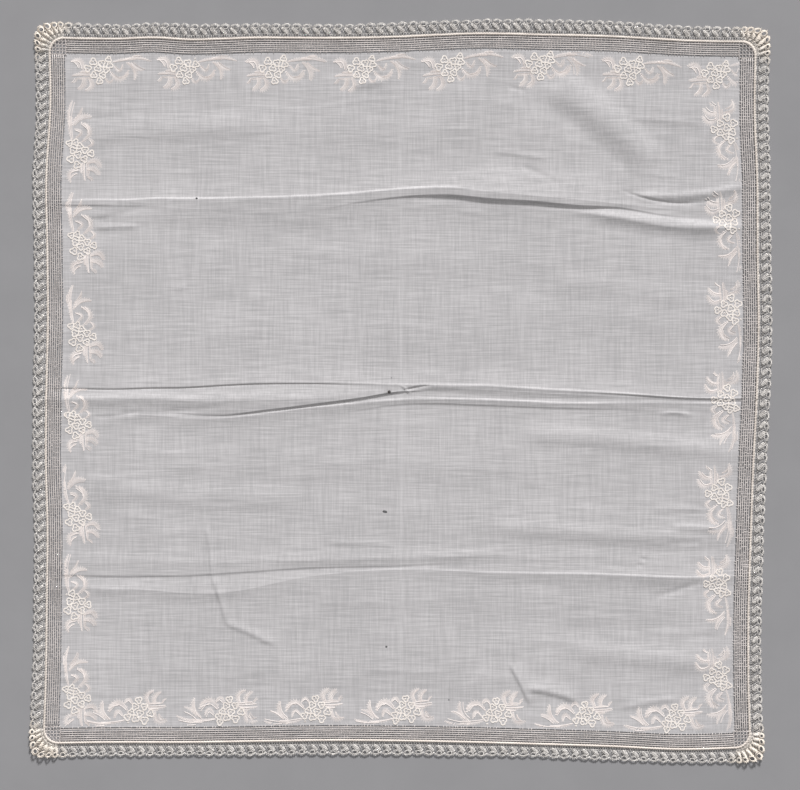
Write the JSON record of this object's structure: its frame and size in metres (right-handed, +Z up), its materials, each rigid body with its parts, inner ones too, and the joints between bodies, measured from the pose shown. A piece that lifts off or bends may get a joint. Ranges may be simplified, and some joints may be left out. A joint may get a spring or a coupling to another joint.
{
  "type": "linen handkerchief",
  "caption": "Square linen handkerchief lying open, with a rolled hem, low crosswise folds and a narrow lace edging gathered at rounded corners.",
  "frame": {"origin": "middle of the outline, on the floor that the handkerchief lies on", "axes": "+Z up out of the cloth, +Y towards its upper side, +X towards its right side"},
  "size_m": [0.409, 0.4098, 0.0036],
  "materials": {
    "linen": "sheer plain-woven linen lawn, cool off-white, with slubby threads and whitework in cotton",
    "lace": "fine cotton bobbin lace, warm off-white, dense flowers on an open mesh"
  },
  "bodies": {
    "root": {"linen_ground": "linen", "lace_edging": "lace"}
  },
  "joints": []
}
